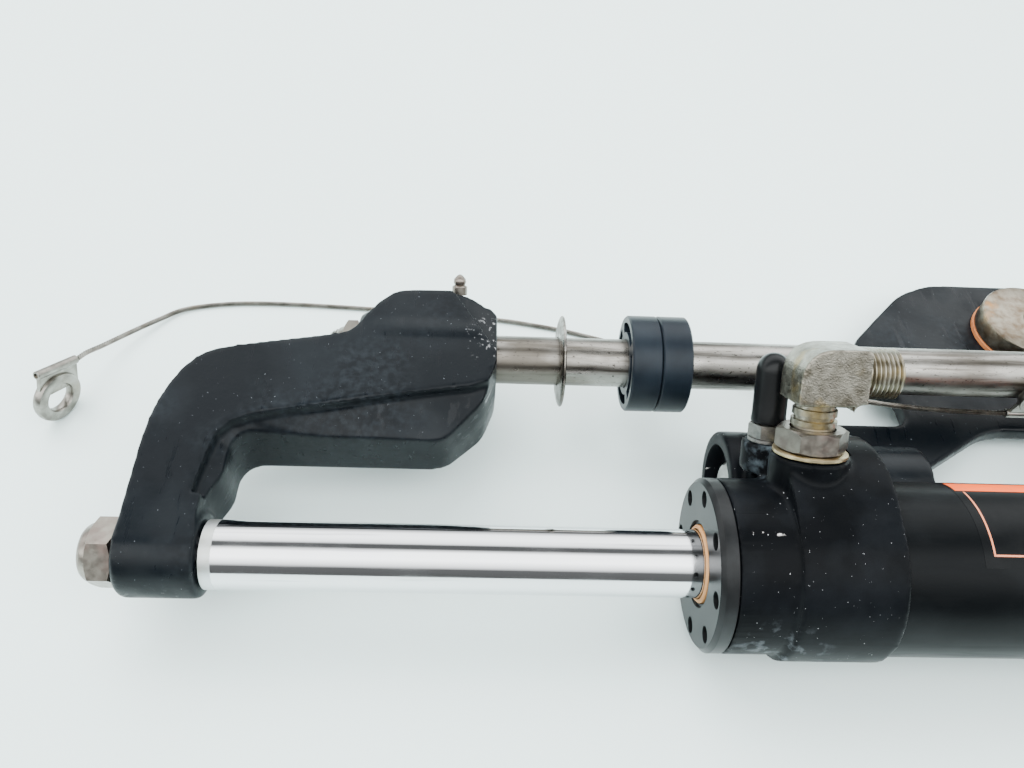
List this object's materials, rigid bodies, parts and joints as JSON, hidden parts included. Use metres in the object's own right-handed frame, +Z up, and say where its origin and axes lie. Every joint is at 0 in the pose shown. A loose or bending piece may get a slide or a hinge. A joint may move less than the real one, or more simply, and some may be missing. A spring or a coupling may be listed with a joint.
{
  "type": "hydraulic steering cylinder kit",
  "caption": "Double-ended hydraulic steering cylinder on a chrome rod, held between two goose-neck brackets with a support rod, pivot plate, hose elbows and lanyard.",
  "frame": {"origin": "centre of the footprint on the table, under the middle of the kit", "axes": "+X along the piston rod to the right, +Y from the piston rod towards the support rod and the tiller pin, +Z up from the table"},
  "size_m": [0.6022, 0.1596, 0.0822],
  "materials": {
    "chrome_rod": "hard chrome plated, ground and polished",
    "worn_steel": "bare steel, worn and lightly pitted",
    "black_rubber": "moulded rubber, slight sheen",
    "black_paint": "semi-gloss black powder coat, worn at the edges",
    "black_satin": "satin black coating",
    "zinc_steel": "dull zinc-plated steel",
    "gold_zinc": "yellow zinc-plated steel",
    "dark_nylon": "moulded nylon, satin",
    "amber_urethane": "moulded urethane, matte",
    "orange_bushing": "moulded bushing, matte",
    "iron": "worn plated steel with light rust",
    "wire_rope": "stainless wire rope and pressed eyes"
  },
  "bodies": {
    "rod_frame": {"piston_rod": "chrome_rod", "piston": "worn_steel", "piston_seal": "black_rubber", "bracket_left": "black_paint", "bracket_right": "black_paint", "rod_nut_left": "zinc_steel", "rod_nut_right": "zinc_steel", "grease_fitting_left": "zinc_steel", "grease_fitting_right": "zinc_steel", "support_rod": "worn_steel", "support_nut_left": "zinc_steel", "support_nut_right": "zinc_steel"},
    "rod_wipers": {"wiper_left": "amber_urethane", "wiper_right": "amber_urethane", "rod_seal_left": "black_rubber", "rod_seal_right": "black_rubber"},
    "cylinder": {"barrel": "black_satin", "end_block_left": "black_paint", "end_block_right": "black_paint", "gland_left": "black_satin", "gland_right": "black_satin", "pivot_pin_left": "zinc_steel", "pivot_pin_right": "zinc_steel", "elbow_left": "zinc_steel", "elbow_right": "zinc_steel", "elbow_nut_left": "gold_zinc", "elbow_nut_right": "gold_zinc", "elbow_washer_left": "gold_zinc", "elbow_washer_right": "gold_zinc"},
    "plate": {"pivot_plate": "black_paint", "tiller_bushing": "orange_bushing", "lanyard_cable": "wire_rope", "lanyard_terminal_left": "wire_rope", "lanyard_terminal_right": "wire_rope"},
    "tiller": {"tiller_pin": "iron", "tiller_nut": "zinc_steel"},
    "washer_left": {"tube_washer_left": "worn_steel"},
    "spacer_outer_left": {"spacer_left_outer": "dark_nylon"},
    "spacer_inner_left": {"spacer_left_inner": "dark_nylon"},
    "bleeder_left": {"bleeder_screw_left": "zinc_steel"},
    "cap_left": {"bleeder_cap_left": "black_rubber"},
    "washer_right": {"tube_washer_right": "worn_steel"},
    "spacer_outer_right": {"spacer_right_outer": "dark_nylon"},
    "spacer_inner_right": {"spacer_right_inner": "dark_nylon"},
    "bleeder_right": {"bleeder_screw_right": "zinc_steel"},
    "cap_right": {"bleeder_cap_right": "black_rubber"}
  },
  "joints": [
    {"name": "cylinder_slide", "type": "slide", "parent": "rod_frame", "child": "rod_wipers", "axis": [1, 0, 0], "range_m": [-0.064, 0.0034]},
    {"name": "cylinder_swing", "type": "hinge", "parent": "rod_wipers", "child": "cylinder", "pos_m": [0.03375, -0.0538, 0.0275], "axis": [1, 0, 0], "range_deg": [0, 2.5]},
    {"name": "plate_hinge", "type": "hinge", "parent": "cylinder", "child": "plate", "pos_m": [0.03375, -0.0202, 0.0149], "axis": [1, 0, 0], "range_deg": [0, 2.5]},
    {"name": "tiller_turn", "type": "hinge", "parent": "plate", "child": "tiller", "pos_m": [0.03375, 0.0522, 0.014], "axis": [0, 0, 1], "continuous": true},
    {"name": "washer_slide_left", "type": "slide", "parent": "rod_frame", "child": "washer_left", "axis": [1, 0, 0], "range_m": [-0.019, 0.01]},
    {"name": "spacer_outer_slide_left", "type": "slide", "parent": "rod_frame", "child": "spacer_outer_left", "axis": [1, 0, 0], "range_m": [-0.009, 0]},
    {"name": "spacer_inner_slide_left", "type": "slide", "parent": "rod_frame", "child": "spacer_inner_left", "axis": [1, 0, 0], "range_m": [0, 0.004]},
    {"name": "bleeder_turn_left", "type": "hinge", "parent": "cylinder", "child": "bleeder_left", "pos_m": [-0.08965, -0.0216, 0.0456], "axis": [0, 0.6225, 0.7826], "range_deg": [0, 180]},
    {"name": "cap_pull_left", "type": "slide", "parent": "bleeder_left", "child": "cap_left", "axis": [0, 0.6225, 0.7826], "range_m": [0, 0.022]},
    {"name": "washer_slide_right", "type": "slide", "parent": "rod_frame", "child": "washer_right", "axis": [1, 0, 0], "range_m": [-0.01, 0.019]},
    {"name": "spacer_outer_slide_right", "type": "slide", "parent": "rod_frame", "child": "spacer_outer_right", "axis": [1, 0, 0], "range_m": [0, 0.009]},
    {"name": "spacer_inner_slide_right", "type": "slide", "parent": "rod_frame", "child": "spacer_inner_right", "axis": [1, 0, 0], "range_m": [-0.004, 0]},
    {"name": "bleeder_turn_right", "type": "hinge", "parent": "cylinder", "child": "bleeder_right", "pos_m": [0.15715, -0.0216, 0.0456], "axis": [0, 0.6225, 0.7826], "range_deg": [0, 180]},
    {"name": "cap_pull_right", "type": "slide", "parent": "bleeder_right", "child": "cap_right", "axis": [0, 0.6225, 0.7826], "range_m": [0, 0.022]}
  ]
}
